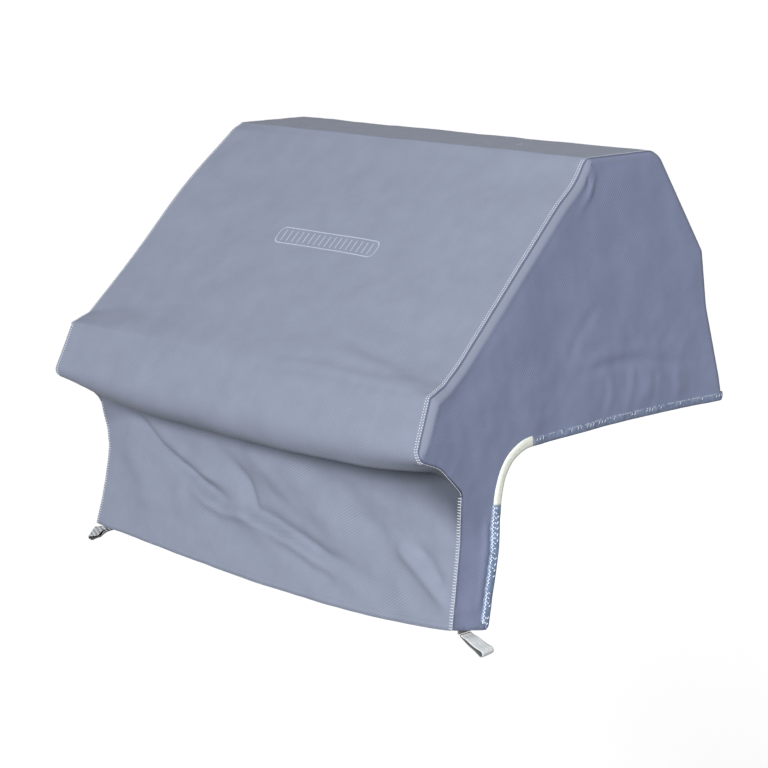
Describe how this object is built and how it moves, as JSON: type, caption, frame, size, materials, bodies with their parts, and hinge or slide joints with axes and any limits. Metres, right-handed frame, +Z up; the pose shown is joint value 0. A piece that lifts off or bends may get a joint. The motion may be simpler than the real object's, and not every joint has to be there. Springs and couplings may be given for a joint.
{
  "type": "fitted grill cover",
  "caption": "Fitted fabric cover for a built-in grill head: sloped hood, control-panel bulge, hanging front apron with side returns, notched sides and webbing pull loops.",
  "frame": {"origin": "middle of the flat underside of the cover's top, the face that rests on the grill's closed hood", "axes": "+X along the cover's width, -Y towards its front (the apron), +Z up"},
  "size_m": [0.7702, 0.5902, 0.5887],
  "materials": {
    "cover_cloth": "coated twill cloth, satin, grey-blue",
    "side_cloth": "coated twill cloth, satin, grey-blue",
    "hem_cloth": "folded cloth hem, matt",
    "seam_tape": "woven binding tape, matt",
    "thread": "twisted polyester thread",
    "emblem_thread": "embroidery thread, tone on tone",
    "notch_binding": "smooth white binding tape",
    "webbing": "woven polyester webbing, light grey"
  },
  "bodies": {
    "hood": {"hood_wrap": "cover_cloth", "left_side_panel": "side_cloth", "right_side_panel": "side_cloth", "left_hood_seam_tape": "seam_tape", "right_hood_seam_tape": "seam_tape", "left_hood_topstitch": "thread", "right_hood_topstitch": "thread", "back_hem": "hem_cloth", "left_side_hem": "hem_cloth", "right_side_hem": "hem_cloth", "left_notch_binding": "notch_binding", "right_notch_binding": "notch_binding", "hood_emblem": "emblem_thread"},
    "apron": {"apron_panel": "cover_cloth", "left_apron_return": "side_cloth", "right_apron_return": "side_cloth", "left_apron_seam_tape": "seam_tape", "right_apron_seam_tape": "seam_tape", "left_apron_topstitch": "thread", "right_apron_topstitch": "thread", "apron_hem": "hem_cloth", "left_return_hem": "hem_cloth", "right_return_hem": "hem_cloth", "left_loop_tail": "webbing", "right_loop_tail": "webbing", "left_loop_tack": "thread", "right_loop_tack": "thread"},
    "left_loop": {"left_pull_loop": "webbing"},
    "right_loop": {"right_pull_loop": "webbing"}
  },
  "joints": [
    {"name": "apron_swing", "type": "hinge", "parent": "hood", "child": "apron", "pos_m": [0, -0.304, -0.394], "axis": [-1, 0, 0], "range_deg": [0, 15]},
    {"name": "right_loop_bend", "type": "hinge", "parent": "apron", "child": "right_loop", "pos_m": [0.3465, -0.2925, -0.563], "axis": [0, -1, 0], "range_deg": [-55, 45], "stiffness_Nm_per_rad": 0.05},
    {"name": "left_loop_bend", "type": "hinge", "parent": "apron", "child": "left_loop", "pos_m": [-0.3465, -0.2925, -0.563], "axis": [0, 1, 0], "range_deg": [-55, 45], "stiffness_Nm_per_rad": 0.05}
  ]
}
